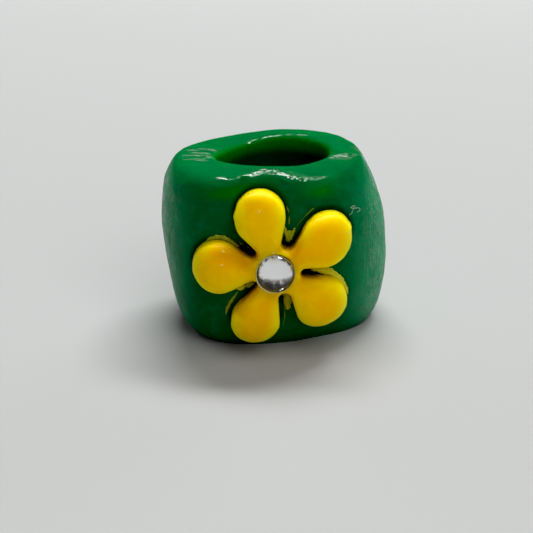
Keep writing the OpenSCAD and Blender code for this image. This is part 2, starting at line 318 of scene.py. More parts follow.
# Other ridges pinched up in the clay: start, end, width, height
CREASES = [
    [(5.0, -0.2, 6.9), (7.0, -1.8, 7.2), 0.7, 0.10],
    [(-4.45, -7.42, 6.84), (-3.75, -7.80, 6.75), 0.13, 0.06],
    [(-2.25, 4.45, 6.75), (-1.75, 4.93, 7.02), 0.12, 0.05],
    [(-0.90, 5.26, 7.19), (-0.35, 5.37, 7.28), 0.12, 0.04],
]
# The crumpled skin of the fold: points along it and half its width
FOLD = [
    (-2.60, -7.80, 6.95, 0.20), (-2.00, -7.50, 7.10, 0.35), (-1.30, -6.95, 7.25, 0.45),
    (-0.60, -6.60, 7.32, 0.50), (0.05, -7.00, 7.30, 0.45), (0.80, -7.52, 7.10, 0.52),
    (1.50, -7.66, 6.74, 0.48), (2.40, -7.45, 6.50, 0.36),
]
# Its short ridges: count and seed, half length, width and height, turn and stray
FOLD_RIDGES, FOLD_SEED = 60, 8
RIDGE_HALF, RIDGE_WIDTH, RIDGE_HEIGHT = (0.12, 0.30), 0.12, (0.04, 0.10)
RIDGE_TURN, RIDGE_STRAY = 0.35, 0.6
# Shiny places: start, end, width, strength
SHINES = [
    [(-4.42, -7.45, 6.83), (-3.74, -7.82, 6.74), 0.18, 1.0],
    [(-3.50, -7.86, 6.75), (-2.50, -7.84, 6.93), 0.25, 0.12],
    [(2.60, -6.85, 6.68), (4.30, -6.20, 6.52), 0.22, 0.30],
    [(-2.25, 4.45, 6.70), (-1.75, 4.93, 6.97), 0.18, 1.0],
    [(-0.90, 5.26, 7.17), (-0.35, 5.37, 7.26), 0.16, 1.0],
    [(0.10, 5.39, 7.31), (0.50, 5.40, 7.35), 0.15, 0.3],
    [(1.20, 5.40, 7.50), (1.50, 5.40, 7.50), 0.15, 0.3],
    [(2.10, 5.20, 7.50), (2.70, 4.95, 7.53), 0.15, 0.4],
    [(5.80, -2.10, 7.33), (7.00, -1.60, 7.24), 0.35, 0.08],
]
# Shiny places on the right shoulder, whose skin is crumpled a little too
SHOULDER_SHINES = [
    [(6.90, 0.80, 7.30), (7.60, -1.10, 6.55), 0.50, 0.60],
    [(7.60, -1.10, 6.55), (8.15, -2.00, 5.00), 0.45, 0.60],
    [(4.50, -2.30, 7.31), (5.80, -2.10, 7.33), 0.40, 0.16],
]
SHOULDER_CRUMPLE = 0.3
# The wrinkles shine too: width, strength
WRINKLE_SHINE = [0.15, 0.40]
# The bore and the base stay true: the lumps fade out over these wall shares inside
# the lip, and over these heights down to the base
INTO_BORE, OFF_BASE = (0.3, 0.9), (-7.3, -6.6)
out = normals(bead_grid)
in_bore = fade(-share, *INTO_BORE)
off_base = fade(bead_grid[..., 2], *OFF_BASE)
lumps = sum(tall * waves(bead_grid, length, seed) for tall, length, seed in LUMPS)
least, more, length, seed = FINE_LUMPS
fine_height = least + more * fade(np.abs(bead_grid[..., 0]), *FLANKS)
lumps += fine_height * waves(bead_grid, length, seed)
lumps += sum(crease(bead_grid, *c) for c in WRINKLES + CREASES)
# Short ridges lie along the fold, each turned and moved a little at random
random = np.random.default_rng(FOLD_SEED)
line = along(FOLD, FOLD_RIDGES)
ways = np.gradient(line[:, :3], axis=0)
ways /= np.linalg.norm(ways, axis=1, keepdims=True)
ways += random.normal(0, RIDGE_TURN, ways.shape)
spots = line[:, :3] + random.normal(0, RIDGE_STRAY, ways.shape) * line[:, 3:]
halves = ways * random.uniform(*RIDGE_HALF, (FOLD_RIDGES, 1))
lumps += sum(
    crease(bead_grid, spot - half, spot + half, RIDGE_WIDTH, tall)
    for spot, half, tall in zip(spots, halves, random.uniform(*RIDGE_HEIGHT, FOLD_RIDGES))
)
bead_grid = bead_grid + out * (lumps * off_base * (1 - in_bore))[..., None]
out = normals(bead_grid)

# What the finish reads: masks that rise over ranges. The top, by how far up it
# faces and by height. The top is painted a lighter green, as painted light.
x, y, z = np.moveaxis(bead_grid, -1, 0)
FACES_UP, UPPER = (0.25, 0.8), (3, 6)
on_top = fade(out[..., 2], *FACES_UP) * fade(z, *UPPER)
# The rubbed flanks and back, also painted lighter as a painted sheen: to the right,
# to the left, backward and by wall share. The far back is rubbed less.
RIGHTWARD, LEFTWARD, BACKWARD, OUTWARD = (4.8, 8.8), (5.8, 9.2), (-4.5, -1), (0.3, 0.8)
BACK_LESS, FAR_BACK = 0.5, (1, 6)
off_front = np.maximum(fade(x, *RIGHTWARD), fade(-x, *LEFTWARD))
off_front = np.maximum(off_front, fade(y, *BACKWARD))
rubbed_and_sheen = off_front * (1 - on_top) * fade(share, *OUTWARD)
rubbed_and_sheen = rubbed_and_sheen * (1 - BACK_LESS * fade(y, *FAR_BACK))
# The shiny and the crumpled skin
CRUMPLED_WIDTH = 1.2
shiny = np.max(
    [crease(bead_grid, *mark) for mark in SHINES + SHOULDER_SHINES]
    + [crease(bead_grid, *mark[:2], *WRINKLE_SHINE) for mark in WRINKLES], axis=0)
crumpled = np.max([
    crease(bead_grid, a[:3], b[:3], CRUMPLED_WIDTH * (a[3] + b[3]) / 2, 1)
    for a, b in zip(line, line[1:])
], axis=0)
for mark in SHOULDER_SHINES:
    crumpled = np.maximum(crumpled, crease(bead_grid, *mark[:3], SHOULDER_CRUMPLE))
# The wrinkled skin, to the left as far as its end, by how far up it faces, and by
# its middle and spread from front to back
WRINKLED_LEFT, WRINKLED_END, WRINKLED_UP = (4.2, 5.2), 8.6, (0.4, 0.9)
WRINKLED_DEEP = (-0.1, 2.2)
wrinkled = fade(-x, *WRINKLED_LEFT) * fade(WRINKLED_END + x, 0, 1)
wrinkled = wrinkled * fade(out[..., 2], *WRINKLED_UP) * bell(y, *WRINKLED_DEEP)
# Painted glow where light shines through the clay: under the fold, by the middles
# and spreads across, by height and forward, and round the mouth, by wall share
# and height share
GLOWS, GLOW_UP, GLOW_FORWARD = [(-3.0, 2.2), (3.6, 1.4)], (4.9, 5.9), (4, 6)
MOUTH_END, MOUTH_FADE, MOUTH_UP = 0.16, 0.2, (0.5, 0.6)
painted_glow = sum(bell(x, *spot) for spot in GLOWS)
painted_glow = painted_glow * fade(z, *GLOW_UP) * (1 - on_top) * fade(-y, *GLOW_FORWARD)
in_mouth = fade(MOUTH_END - share, 0, MOUTH_FADE) * fade(h, *MOUTH_UP)
painted_glow = np.maximum(painted_glow, in_mouth)
# The hole's inside is painted dark as shade. Light reaches a depth below the rim's
# height share, and deeper about one angle, and it fades over a range of such depths.
RIM_UP, LIT, LIT_MORE, LIT_ABOUT, LIT_FADE = 0.965, 0.55, 0.6, (172, 22), (0.1, 1.9)
lit_depth = LIT + LIT_MORE * bell(angles[None], *LIT_ABOUT)
inner = in_mouth * fade((RIM_UP - h) * BEAD_H / lit_depth, *LIT_FADE)
# The lower half of the hole is painted dark all round, as shade
DARK_END, DARK_TOP, DARK_FADE = 0.1, 0.6, 0.1
inner = inner + fade(DARK_END - share, 0, DARK_FADE) * fade(DARK_TOP - h, 0, DARK_FADE)
bead = surface("bead_clay", [bead_grid], {
    "on_top": [on_top], "rubbed_and_sheen": [rubbed_and_sheen], "shiny": [shiny],
    "crumpled": [crumpled], "wrinkled": [wrinkled],
    "painted_glow": [painted_glow], "inner": [inner],
}, looped=True)


class Tone:
    """One output of a shader node. Arithmetic on it adds Math nodes."""

    def __init__(self, finish, socket):
        self.finish, self.socket = finish, socket

    def math(self, operation, *values):
        return self.finish.node("Math", values, operation=operation)

    def __add__(self, other):
        return self.math("ADD", self, other)

    def __sub__(self, other):
        return self.math("SUBTRACT", self, other)

    def __rsub__(self, other):
        return self.math("SUBTRACT", other, self)

    def __mul__(self, other):
        return self.math("MULTIPLY", self, other)

    __radd__, __rmul__ = __add__, __mul__

    def rise(self, low, high):
        """0 below low and 1 above high, smoothly between them."""
        spans = {"Value": self, "From Min": low, "From Max": high}
        return self.finish.node("MapRange", spans, interpolation_type="SMOOTHSTEP")


class Finish:
    """A material, or a world, and the nodes that feed its shader."""

    def __init__(self, name, kind=bpy.data.materials, shader="Principled BSDF"):
        self.look = kind.new(name)
        self.look.use_nodes = True
        self.tree = self.look.node_tree
        self.shader = self.tree.nodes[shader]

    def plug(self, socket, value):
        if isinstance(value, Tone):
            self.tree.links.new(value.socket, socket)
        else:
            socket.default_value = value

    def node(self, kind, inputs=(), output=0, **settings):
        """Any other node: its settings first, then its sockets by name or place."""
        node = self.tree.nodes.new("ShaderNode" + kind)
        for key, value in settings.items():
            setattr(node, key, value)
        pairs = inputs.items() if isinstance(inputs, dict) else enumerate(inputs)
        for key, value in pairs:
            self.plug(node.inputs[key], value)
        return Tone(self, node.outputs[output])

    def shade(self, inputs):
        for key, value in inputs.items():
            self.plug(self.shader.inputs[key], value)

    def gleam(self, share, inputs):
        """A second shader, mixed over the first one by a share."""
        dry = Tone(self, self.shader.outputs["BSDF"])
        wet = self.node("BsdfPrincipled", inputs, output="BSDF")
        both = self.node("MixShader", {0: share, 1: dry, 2: wet}, output="Shader")
        self.plug(self.tree.nodes["Material Output"].inputs["Surface"], both)

    def tag(self, name):
        return self.node("Attribute", output="Fac", attribute_name=name)

    def place(self, stretch=(1, 1, 1)):
        """Object coordinates in millimetres, each times its stretch."""
        metres = self.node("TexCoord", output="Object")
        scale = tuple(s / MM for s in stretch)
        return self.node("VectorMath", (metres, scale), operation="MULTIPLY")

    def noise(self, place, scale, detail=2.0):
        """Soft noise of 0 to 1, with about scale lumps to a millimetre."""
        inputs = {"Vector": place, "Scale": scale, "Detail": detail}
        return self.node("TexNoise", inputs, output="Fac")

    def blend(self, a, b, share):
        """The colour a where the share is 0 and b where it is 1."""
        return self.node("Mix", {0: share, 6: a, 7: b}, output=2, data_type="RGBA")

    def bump(self, height, depth):
        """A normal from a height of 0 to 1 that stands for depth millimetres."""
        return self.node("Bump", {"Height": height, "Distance": depth * MM, "Strength": 1.0})


green = Finish("green_clay_finish")
place = green.place()
blotch = green.noise(place, 0.45, 3.0)
grain = green.noise(place, 5.0, 3.0)
streak = green.noise(green.place((1, 1, 0.09)), 7.0, 4.0)
fine_streak = green.noise(green.place((1, 1, 0.14)), 16.0, 2.0)
rubbed_and_sheen_here = green.tag("rubbed_and_sheen")
topside = green.tag("on_top")
DEEP_GREEN, LIT_TOP_GREEN = (0.0, 0.090, 0.020, 1), (0.0, 0.118, 0.025, 1)
MOTTLED_GREEN, PAINTED_SHADE_GREEN = (0.0, 0.13, 0.045, 1), (0.0, 0.012, 0.003, 1)
FLANK_SHEEN_GREEN, PALE_DUST_AND_SHEEN_GREEN = (0.001, 0.25, 0.09, 1), (0.34, 0.60, 0.45, 1)
PAINTED_GLOW_GREEN, HOLE_SHADE_GREEN = (0.0, 0.16, 0.003, 1), (0.001, 0.022, 0.012, 1)
in_hole = green.tag("inner")
wrinkled_here = green.tag("wrinkled")
mottle = green.noise(place, 1.3, 4.0).rise(0.48, 0.72)
clay = green.blend(DEEP_GREEN, MOTTLED_GREEN, mottle * 0.6)
# Painted light: the top is a lighter green
clay = green.blend(clay, LIT_TOP_GREEN, topside * (0.35 + 0.9 * blotch))
# Painted sheen: the flanks and back are a lighter green
clay = green.blend(clay, FLANK_SHEEN_GREEN, rubbed_and_sheen_here * (0.4 + 0.8 * blotch))
# Painted light: a brighter green glows under the fold and round the mouth
clay = green.blend(clay, PAINTED_GLOW_GREEN, green.tag("painted_glow"))
# Painted shade: the hole is dark inside
clay = green.blend(clay, HOLE_SHADE_GREEN, in_hole)
# Painted shade: dark by the flower's edge, in its notches and towards the foot
clay = green.blend(clay, PAINTED_SHADE_GREEN, green.tag("painted_clay_shade") * 0.9)
# Pale dust and a painted sheen lie in the rubbed streaks
streaks = streak * 0.5 + fine_streak * 0.5
dust_and_sheen = streaks.rise(0.49, 0.62) * rubbed_and_sheen_here.rise(0.6, 1.0) * 0.17
stroke = green.noise(green.place((0.35, 1.1, 1.1)), 1.1, 2.0)
height = grain * 0.16 + streak * rubbed_and_sheen_here * 2.0 + fine_streak * rubbed_and_sheen_here * 0.6 + stroke * 2.5
body = {
    "Base Color": green.blend(clay, PALE_DUST_AND_SHEEN_GREEN, dust_and_sheen),
    "Subsurface Weight": 0.5,
    "Subsurface Radius": (0.1, 1.0, 0.15),
    "Subsurface Scale": 1.0 * MM,
}
# The dry skin mirrors nothing. All the gloss is in the second shader.
green.shade({
    **body,
    "Roughness": 0.6,
    "Specular IOR Level": 0.0,
    "Normal": green.bump(height, 0.05),
})
# Where it shines, the skin is crinkled finely
crinkle = green.noise(place, 2.6, 3.0)
crumpled_here = green.tag("crumpled")
speck = green.noise(green.place((1, 0.7, 0.9)), 3.6, 2.0)
shine = 0.012 * (1 - green.tag("painted_glow")) * (1 - 0.7 * topside)
shine = shine + rubbed_and_sheen_here * (0.22 + 0.6 * streaks.rise(0.46, 0.58))
shine = shine + green.tag("shiny") * speck.rise(0.35, 0.5)
shine = shine + crumpled_here * speck.rise(0.42, 0.50) + wrinkled_here * 0.04
green.gleam(shine * (1 - in_hole), {
    **body,
    "Roughness": 0.10,
    "Specular IOR Level": 0.5,
    "Normal": green.bump(height + crinkle * (crumpled_here * 2.5 + wrinkled_here * 1.5), 0.05),
})
bead.data.materials.append(green.look)
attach(bead, "root")
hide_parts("bead")


# The flower. Five round petals of yellow polymer clay, pressed out in a mould as
# one pad about two millimetres thick, with pillow-soft edges. It is pressed on
# the bead's front before baking, and the gem sits in a recess at its middle.
PETAL_REACH, PETAL_R, NECK_W = 4.45, 2.0, 2.0
FLOWER_T, FLOWER_RISE = 1.9, 0.15
# How far its back is pressed into the green clay, and the CAD flower's gap there
SUNK, SEAT_GAP = 0.06, 0.1
GEM_R, GEM_SINK, FIT_GAP = 1.5, 0.35, 0.03
# Points of the outline on a petal's round end, on its side and in a notch
END_N, SIDE_N, NOTCH_N = 65, 12, 25
# The petals: angle, share of the reach, share of the round end's radius, and for
# the notch that follows, its turn, share of its distance, and its radius
PETALS = np.array([
    [28, 1.02, 1.02, -1, 0.968, 0.55],
    [106, 0.98, 0.98, 0, 0.99, 0.42],
    [177, 1.01, 1.00, -2.5, 0.88, 0.42],
    [250, 1.04, 0.96, 3, 0.909, 0.52],
    [320, 1.08, 1.04, 0, 0.93, 0.42],
])


def direction(angle):
    """Unit vectors at angles in degrees."""
    turn = np.radians(angle)
    return np.stack([np.cos(turn), np.sin(turn)], -1)


def bearing(start, end):
    """The angle in degrees from one point to another."""
    return np.degrees(np.arctan2(end[1] - start[1], end[0] - start[0]))


def petal_shape():
    """The outline seen from the front, and for each of its points the place
    inside that its column of the surface runs to. The outline is an arc round
    each petal's end, an arc in each notch, and their common tangents. The places
    inside run down each petal from its round end's middle to the hub."""
    outline, inside = [], []
    count = len(PETALS)
    middles = PETAL_REACH * PETALS[:, 1, None] * direction(PETALS[:, 0])
    radii = PETAL_R * PETALS[:, 2]
    gaps = np.diff(np.append(PETALS[:, 0], PETALS[0, 0] + 360)) / 2
    bend = PETALS[:, 5]
    far = (NECK_W / 2 + bend) / np.sin(np.radians(gaps)) * PETALS[:, 4]
    notches = far[:, None] * direction(PETALS[:, 0] + gaps + PETALS[:, 3])

    def leave(k, j, side):
        """The angle on petal k's round end where its tangent to notch j leaves."""
        lean = (radii[k] + bend[j]) / np.hypot(*(notches[j] - middles[k]))
        return bearing(middles[k], notches[j]) + side * np.degrees(np.arccos(lean))

    for k in range(count):
        following = (k + 1) % count
        start = leave(k, k - 1, 1)
        end = start + (leave(k, k, -1) - start) % 360
        follow = end - (end - leave(following, k, 1)) % 360
        lobe = middles[k] + radii[k] * direction(np.linspace(start, end, END_N))
        notch = notches[k] - bend[k] * direction(np.linspace(end, follow, NOTCH_N))
        t = np.linspace(0, 1, SIDE_N + 2)[1:-1, None]
        deep = notches[k - 1] - bend[k - 1] * direction(start)
        neck = (deep + notch[0]) / 2
        next_deep = notch[-1]
        rise_angle = leave(following, following, -1)
        next_rise = notches[following] - bend[following] * direction(rise_angle)
        next_neck = (next_deep + next_rise) / 2
        half = np.linspace(0, 1, NOTCH_N // 2 + 1)[:, None]
        outline += [deep + t * (lobe[0] - deep), lobe]
        outline += [lobe[-1] + t * (notch[0] - lobe[-1]), notch]
        inside += [neck + t * (middles[k] - neck), np.broadcast_to(middles[k], lobe.shape)]
        inside += [middles[k] + t * (neck - middles[k]), neck * (1 - half), next_neck * half[1:]]
    return np.vstack(outline), np.vstack(inside)


def back_y(points):
    """Where the flower's back lies on the bead behind points of its plan."""
    return front_y(points[..., 0], points[..., 1] + FLOWER_RISE)


outline, inside = petal_shape()
# How far in each row of the front lies, closer together near the edge
FRONT_ROWS = 34
inward = 1 - np.cos(np.linspace(0, np.pi / 2, FRONT_ROWS))
plan = outline + inward[:, None, None] * (inside - outline)
gap = np.min(np.linalg.norm(plan[:, :, None] - outline, axis=-1), axis=-1)
from_hub = np.linalg.norm(plan, axis=-1)
# A petal begins over this range from the hub. The edge is rounded far in on the
# petals and only a little in the notches, and the petals swell a little thicker:
# each pair is a size in a notch and how much more it is on a petal
PETAL_FROM = (1.9, 3.7)
ROUNDING, WALL_SHARE, PAD_T = (0.45, 0.95), (0.7, -0.1), (FLOWER_T, 0.35)
on_petal = fade(from_hub, *PETAL_FROM)
rounding, wall_share, pad_t = (
    least + more * on_petal for least, more in (ROUNDING, WALL_SHARE, PAD_T)
)
cushion = (1 - (1 - np.clip(gap / rounding, 0, 1)) ** 2) ** 0.5
# Pips of clay standing on the faces, painted pale as a painted highlight: across, up, radius,
# height
PIPS = [
    [-1.23, 4.97, 0.07, 0.09], [-4.15, 0.92, 0.06, 0.07], [-3.98, 1.88, 0.06, 0.07],
    [3.54, -0.53, 0.06, 0.06], [-0.16, 1.66, 0.07, 0.09],
]
# Nubs of clay torn out of the edge: across, up, radius, height
NUBS = [[-3.21, 4.32, 0.16, 0.09], [5.95, 2.85, 0.14, 0.10], [0.30, -4.85, 0.10, 0.03]]
# Soft lumps on its face and along its edge: height, length, seed
FACE_LUMPS, EDGE_LUMPS = [0.012, 2.2, 11], [0.015, 0.9, 12]
# Heights of the rows up its wall, as shares, and how much painted shade its rows have up to there
WALL_ROWS = np.array([0.25, 0.5, 0.75, 0.95])
SHADE_ROWS = np.array([1, 1, 1, 0.95, 0.8, 0.6, 0.45])
tall, *lumps = FACE_LUMPS
lift = tall * waves(np.dstack([plan, np.zeros_like(gap)]), *lumps)
pips = np.zeros_like(gap)
for across, up, radius, tall in PIPS:
    pip = bell(np.hypot(plan[..., 0] - across, plan[..., 1] - up), 0, radius)
    lift, pips = lift + tall * pip, pips + pip
front_t = pad_t * (wall_share + (1 - wall_share) * cushion)
front_t += lift * cushion
wall_up = WALL_ROWS[:, None] * front_t[0] - SUNK
levels = np.vstack([np.full((3, len(outline)), -SUNK), wall_up, front_t])
# The rows run from the hub over its back to the edge, up its wall and over its front
plans = np.concatenate([plan[[-1, 16, 0]], np.repeat(plan[:1], len(WALL_ROWS), 0), plan])
facing = outline - inside
facing /= np.linalg.norm(facing, axis=-1, keepdims=True)
tall, *lumps = EDGE_LUMPS
swell = tall * waves(np.dstack([outline[None], np.zeros_like(gap[:1])]), *lumps)[0]
for across, up, radius, tall in NUBS:
    away = np.hypot(outline[:, 0] - across, outline[:, 1] - up)
    swell += tall * bell(away, 0, radius)
spread = np.concatenate([[0, 0, 1, 1, 1, 1, 1], (1 - inward) ** 3])
plans = plans + (swell * spread[:, None])[..., None] * facing
flower_grid = np.stack([
    plans[..., 0], back_y(plans) - levels, plans[..., 1] + FLOWER_RISE,
], -1)
# How strong the painted marks on its face are: painted shade by the notches, painted
# brown shade on the left petal, painted shade on the lower right one, and painted
# lemon light above, beside and down the wall
NOTCH_SHADE, UNDER_FILM_SHADE, SHADE = 0.35, 0.42, 0.26
LEMON_ABOVE, LEMON_BESIDE, LEMON_WALL = 0.32, 0.8, 0.8
# Shade is painted low on the walls of the notches and fades over their edges. These
# masks rise over ranges of millimetres, or of how far up or aside the edge faces.
near_notch = fade(4.3 - np.linalg.norm(outline, axis=1), 0, 1.3)
wall_painted_shade = near_notch * fade(facing[:, 1], -0.7, 0.1)
wall_painted_shade = wall_painted_shade * SHADE_ROWS[:, None]
front_painted_shade = NOTCH_SHADE * fade(4.0 - from_hub, 0, 1.2) * fade(from_hub, 1.6, 2.0)
front_painted_shade = front_painted_shade * fade(0.8 - gap, 0, 0.8) * fade(facing[:, 1], -0.1, 0.6)
# The petals' edges are painted lemon as painted light, a little above and more at the sides
lit_above = LEMON_ABOVE * fade(facing @ [0.45, 0.9], -0.3, 0.6)
lit_beside = LEMON_BESIDE * fade(np.abs(facing[:, 0]) - 0.4 * facing[:, 1], 0, 0.9)
lit = np.maximum(lit_above, lit_beside)
front_edge = fade(1.0 - gap, 0, 1.0) * lit * on_petal
wall_edge = np.broadcast_to(LEMON_WALL * lit * on_petal[0], wall_painted_shade.shape)
# The left petal's upper side is painted in brown shade, under the film that lies over it
shaded_under_film = fade(-plan[..., 0], 1.2, 2.4) * fade(facing[:, 1], 0.3, 0.9)
shaded_under_film = shaded_under_film * fade(1.4 - gap, 0, 1.3) * fade(5.9 - from_hub, 0, 1.8)
front_painted_shade = np.maximum(front_painted_shade, UNDER_FILM_SHADE * shaded_under_film)
# So is the lower right petal's, in painted shade where the petal above it shades it
shaded_side = fade(plan[..., 0], 1.6, 2.3) * fade(-plan[..., 1], 0, 0.3)
shaded_side = shaded_side * fade(facing[:, 1], 0.1, 0.7)
shaded_side = shaded_side * fade(1.3 - gap, 0, 1.2) * fade(4.6 - from_hub, 0, 1.6)
front_painted_shade = np.maximum(front_painted_shade, SHADE * shaded_side)
front_edge = front_edge * (1 - shaded_under_film)
flower = surface("flower_clay", [flower_grid], {
    "edge": [np.vstack([wall_edge, front_edge])],
    "painted_petal_shade": [np.vstack([wall_painted_shade, front_painted_shade])],
    "pip": [np.vstack([np.zeros_like(wall_painted_shade), pips])],
})
# The green clay is painted dark as shade where the flower's edge and its notches shade it
bead_plan = bead_grid[..., [0, 2]].reshape(-1, 2) - [0, FLOWER_RISE]
in_front = np.flatnonzero(bead_grid[..., 1].ravel() < -5)
behind = bead_plan[in_front]
to_edge = np.linalg.norm(behind[:, None] - outline[::2], axis=-1)
shaded = fade(facing[::2, 1][to_edge.argmin(1)], -0.5, 0.2)
painted_clay_shade = np.zeros(len(bead_plan))
painted_clay_shade[in_front] = np.maximum(
    fade(0.50 - to_edge.min(1), 0, 0.40) * shaded,
    fade(3.8 - np.linalg.norm(behind, axis=1), 0, 1.3),
)
# and painted darker towards the foot, as shade
painted_clay_shade = np.maximum(painted_clay_shade, 0.6 * fade(-bead_grid[..., 2].ravel(), 6.2, 7.3))
layer = bead.data.attributes.new("painted_clay_shade", "FLOAT", "POINT")
layer.data.foreach_set("value", painted_clay_shade.astype(np.float32))

# The recess for the gem is cut by a round plug: share of its radius, and how far
# behind the seat
RING_N, SHARP = 96, 50
PLUG = [(0, 0), (1, 0), (1, -4), (0, -4)]
hub_y = float(back_y(np.zeros(2))) - SEAT_GAP
seat_y = hub_y - FLOWER_T + GEM_SINK
ring = np.linspace(0, 360, RING_N, endpoint=False)
plug_r = GEM_R + FIT_GAP
plug = surface("plug", [np.stack([
    np.stack([plug_r * w * np.cos(np.radians(ring)), seat_y + deep + 0 * ring,
              plug_r * w * np.sin(np.radians(ring)) + FLOWER_RISE], -1)
    for w, deep in PLUG
])])
cut = flower.modifiers.new("recess", "BOOLEAN")
cut.operation, cut.solver, cut.object = "DIFFERENCE", "EXACT", plug
bpy.context.view_layer.update()
graph = bpy.context.evaluated_depsgraph_get()
cut_mesh = bpy.data.meshes.new_from_object(flower.evaluated_get(graph))
flower.modifiers.clear()
flower.data = cut_mesh
flower.data.set_sharp_from_angle(angle=np.radians(SHARP))
bpy.data.objects.remove(plug)

yellow = Finish("yellow_clay_finish")
place = yellow.place()
cloud = yellow.noise(place, 0.5, 2.0)
speck = yellow.noise(place, 7.0, 2.0)
YELLOW, AMBER = (1.0, 0.56, 0.0, 1), (1.0, 0.48, 0.0, 1)
SMUDGED, LIT_LEMON = (0.72, 0.50, 0.01, 1), (1.0, 0.82, 0.01, 1)
SHADE_BROWN, PIP_HIGHLIGHT_YELLOW = (0.05, 0.015, 0.0, 1), (1.0, 0.80, 0.35, 1)
clay = yellow.blend(YELLOW, AMBER, cloud.rise(0.35, 0.7))
smudge = yellow.noise(place, 1.1, 4.0).rise(0.56, 0.7)
clay = yellow.blend(clay, SMUDGED, smudge * 0.25 + (speck - 0.5) * 0.5)
# Painted light: the petals' lit edges are lemon
clay = yellow.blend(clay, LIT_LEMON, yellow.tag("edge") * 0.85)
# Painted shade in the notches and on the shaded sides of two petals
clay = yellow.blend(clay, SHADE_BROWN, yellow.tag("painted_petal_shade"))
pip = yellow.tag("pip")
yellow.shade({
    # The pips are painted pale as a painted highlight
    "Base Color": yellow.blend(clay, PIP_HIGHLIGHT_YELLOW, pip),
    "Coat Weight": pip * 0.5,
    "Coat Roughness": 0.15,
    "Roughness": 0.30 + 0.10 * speck,
    "Specular IOR Level": 0.03,
    "Subsurface Weight": 1.0,
    "Subsurface Radius": (1.0, 0.9, 0.2),
    "Subsurface Scale": 2.0 * MM,
    "Normal": yellow.bump(speck + smudge * 0.8, 0.008),
})
flower.data.materials.clear()
flower.data.materials.append(yellow.look)
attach(flower, "root")
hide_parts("flower")


# The flash. Thin yellow clay squeezed out from under the petals as the flower
# was pressed on, and torn ragged. It clings to the green clay in the notches
# and along some of the petals, and it is thin enough to look olive.
STRAND_ROWS, STRAND_TURNS = 80, 16
# How far its width varies and over what length, and how far off the clay it lies
RAGGED, RAGGED_LENGTH, STRAND_OFF = 0.30, 0.28, 0.01


def strand(path, tall, seed):
    """A ribbon laid on the bead's front: a flattened ellipse carried along the
    path, as wide as the path says but ragged, and closed to a point at both ends."""
    line = along(path, STRAND_ROWS)
    way = np.gradient(line[:, :2], axis=0)
    way /= np.linalg.norm(way, axis=1, keepdims=True)
    side = way[:, ::-1] * [1, -1]
    t = np.linspace(-1, 1, STRAND_ROWS)
    body = np.clip(1 - t ** 6, 0, 1) ** 0.5
    turn = np.linspace(0, 2 * np.pi, STRAND_TURNS, endpoint=False)
    flat = line * [1, 1, 0]
    ragged = [1 + RAGGED * waves(flat + [0, 0, k], RAGGED_LENGTH, seed) for k in (0, 3)]
    width = line[:, 2] * body * np.array(ragged)
    across = np.where(np.cos(turn) > 0, width[0, :, None], width[1, :, None]) * np.cos(turn)
    plan = line[:, None, :2] + across[..., None] * side[:, None]
    up = tall * body[:, None] * np.sin(turn)
    y = front_y(plan[..., 0], plan[..., 1]) - up - STRAND_OFF
    return np.stack([plan[..., 0], y, plan[..., 1]], -1)[:, ::-1]


# Each strand: points across, up and half width, height, share of yellow
STRANDS = [
    [[(0.72, 3.40, 0.06), (0.78, 2.85, 0.16), (0.98, 2.20, 0.14)], 0.20, 0.50],
    [[(1.52, 3.22, 0.06), (1.30, 2.75, 0.16), (1.02, 2.20, 0.14)], 0.20, 0.50],
    [[(1.10, 3.05, 0.16), (1.05, 2.65, 0.26), (1.00, 2.10, 0.16)], 0.14, 0.42],
    [[(0.86, 4.92, 0.04), (0.96, 4.65, 0.05), (1.05, 4.39, 0.04)], 0.10, 0.20],
    [[(1.05, 4.13, 0.03), (1.07, 3.85, 0.06), (1.05, 3.50, 0.04)], 0.10, 0.25],
    [[(3.02, 4.60, 0.08), (2.60, 4.28, 0.06), (2.23, 3.98, 0.03), (1.52, 3.21, 0.03)], 0.10, 0.12],
    [[(2.80, -0.30, 0.10), (3.30, -0.28, 0.26), (3.80, -0.45, 0.32), (4.42, -0.70, 0.30),
      (4.95, -1.15, 0.22), (5.45, -1.75, 0.16), (5.82, -2.55, 0.12), (5.92, -3.05, 0.06)],
     0.34, 0.95],
    [[(-5.48, 2.12, 0.06), (-4.98, 2.44, 0.16), (-4.42, 2.56, 0.20), (-3.82, 2.40, 0.18),
      (-3.20, 2.05, 0.13), (-2.80, 1.82, 0.06)], 0.25, 0.36],
    [[(-3.08, -1.62, 0.12), (-2.74, -1.58, 0.22), (-2.40, -1.40, 0.20)], 0.30, 1.10],
    [[(-2.45, -1.45, 0.14), (-2.00, -1.30, 0.20), (-1.65, -1.12, 0.12)], 0.15, 0.55],
    [[(-2.91, -1.85, 0.06), (-3.32, -2.45, 0.11), (-3.66, -3.02, 0.11), (-3.90, -3.63, 0.11),
      (-3.95, -4.00, 0.06)], 0.18, 0.36],
    [[(0.98, -1.90, 0.24), (1.00, -2.60, 0.33), (1.02, -3.10, 0.28), (0.99, -3.65, 0.12)],
     0.20, 0.74],
    [[(0.74, -3.20, 0.03), (0.75, -4.39, 0.045), (0.63, -5.20, 0.03)], 0.08, 0.20],
    [[(-2.88, 2.17, 0.04), (-2.72, 2.08, 0.07), (-2.55, 2.00, 0.04)], 0.12, 0.25],
    [[(-2.25, 1.84, 0.03), (-2.12, 1.76, 0.06), (-1.98, 1.66, 0.03)], 0.12, 0.28],
]
FIRST_SEED = 20
flash_grids = [strand(path, tall, FIRST_SEED + i) for i, (path, tall, _) in enumerate(STRANDS)]
yellows = [np.full(grid.shape[:2], row[2]) for grid, row in zip(flash_grids, STRANDS)]
rim = np.cos(np.linspace(0, 2 * np.pi, STRAND_TURNS, endpoint=False)[::-1]) ** 8
rims = [np.broadcast_to(rim, share.shape) for share in yellows]
flash = surface("flower_flash", flash_grids, {"yellow_share": yellows, "rim": rims})

